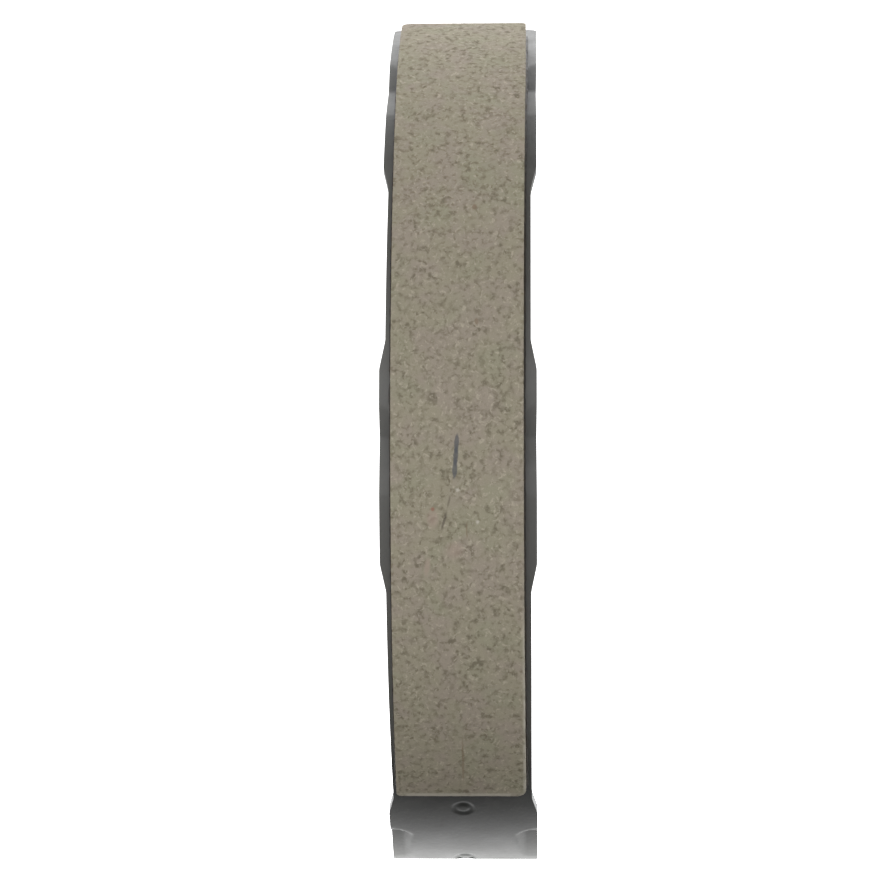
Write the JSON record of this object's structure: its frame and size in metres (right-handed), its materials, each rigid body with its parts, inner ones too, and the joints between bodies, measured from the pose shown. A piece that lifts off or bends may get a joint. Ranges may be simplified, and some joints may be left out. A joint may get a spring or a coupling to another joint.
{
  "type": "brake shoe",
  "caption": "Curved steel drum brake shoe with a bonded friction lining, a flat web behind it, and formed guide pads on the table's edges.",
  "frame": {"origin": "under the middle of the shoe's box, at the level of its lowest edge, with the shoe standing on the lower end of its table. The drum's axis lies along X, 52.0 mm behind the origin (+Y) and 83.39 mm above it.", "axes": "+Z along the shoe from its adjuster end up to its anchor end, +X along the drum's axis, and +Y from the lining towards the drum's axis"},
  "size_m": [0.0294, 0.086, 0.1709],
  "materials": {
    "steel_paint": "satin",
    "friction_compound": "matte",
    "adhesive": "matte",
    "weld_metal": "satin"
  },
  "bodies": {
    "root": {"table": "steel_paint", "web": "steel_paint", "lining": "friction_compound", "adhesive_film": "adhesive", "weld_nugget_01": "weld_metal", "weld_nugget_02": "weld_metal", "weld_nugget_03": "weld_metal", "weld_nugget_04": "weld_metal", "weld_nugget_05": "weld_metal", "weld_nugget_06": "weld_metal", "weld_nugget_07": "weld_metal", "weld_nugget_08": "weld_metal", "weld_nugget_09": "weld_metal", "weld_nugget_10": "weld_metal"}
  },
  "joints": []
}
